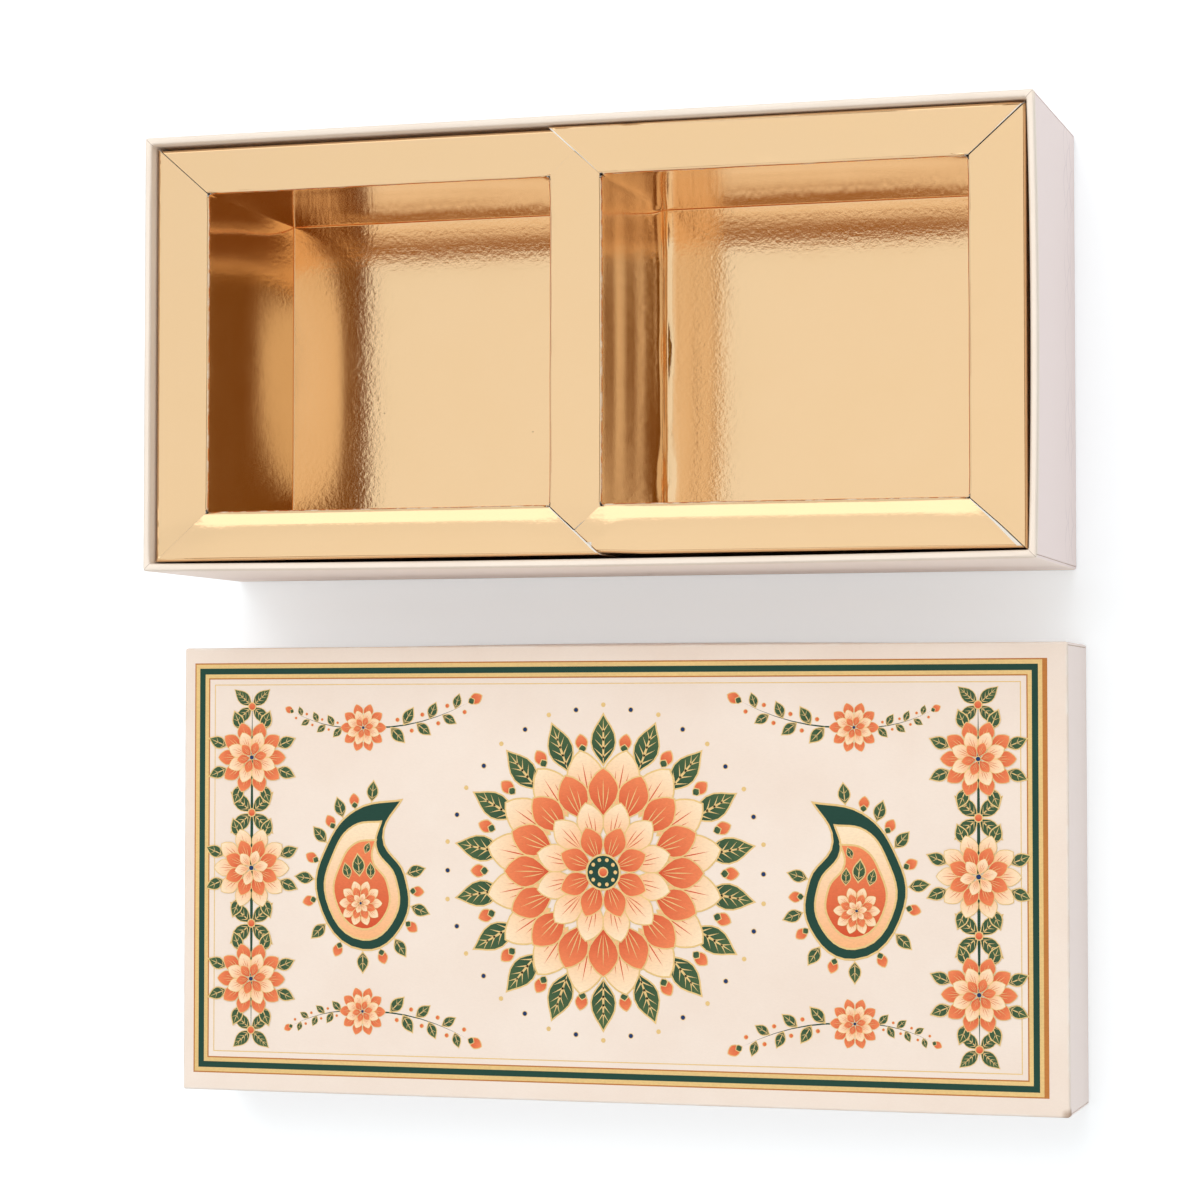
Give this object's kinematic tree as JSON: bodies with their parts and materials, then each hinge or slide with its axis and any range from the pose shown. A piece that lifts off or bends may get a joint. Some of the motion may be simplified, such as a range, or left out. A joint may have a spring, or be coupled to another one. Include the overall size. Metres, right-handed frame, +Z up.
{
  "type": "mithai sweet box",
  "caption": "Rigid paper-covered oblong sweet box with a gold foil-card insert that has square wells, and a separate lift-off lid with a printed border, shown lying beside it.",
  "frame": {"origin": "centre of the base's underside", "axes": "+X along the base's length, +Y from the lid towards the base's back, +Z up"},
  "size_m": [0.2102, 0.2212, 0.057],
  "materials": {
    "greyboard": "raw grey board",
    "stay_tape": "plain kraft tape",
    "base_paper": "matt art paper, pale pink cream",
    "lid_paper": "matt art paper, cream, printed with a border and ornaments",
    "liner_paper": "plain cream paper",
    "foil_card": "metallised gold foil card, soft mirror, white core"
  },
  "bodies": {
    "base": {"base_board": "greyboard", "base_stay_front_left": "stay_tape", "base_stay_front_right": "stay_tape", "base_stay_back_left": "stay_tape", "base_stay_back_right": "stay_tape", "base_wrap": "base_paper", "base_floor_liner": "liner_paper"},
    "insert": {"foil_insert": "foil_card"},
    "lid": {"lid_board": "greyboard", "lid_stay_front_left": "stay_tape", "lid_stay_front_right": "stay_tape", "lid_stay_back_left": "stay_tape", "lid_stay_back_right": "stay_tape", "lid_wrap": "lid_paper", "lid_ceiling_liner": "liner_paper"}
  },
  "joints": [
    {"name": "insert_lift", "type": "slide", "parent": "base", "child": "insert", "axis": [0, 0, 1], "range_m": [0, 0.06]},
    {"name": "lid_lift", "type": "slide", "parent": "base", "child": "lid", "axis": [0, 0, 1], "range_m": [0, 0.08]}
  ]
}
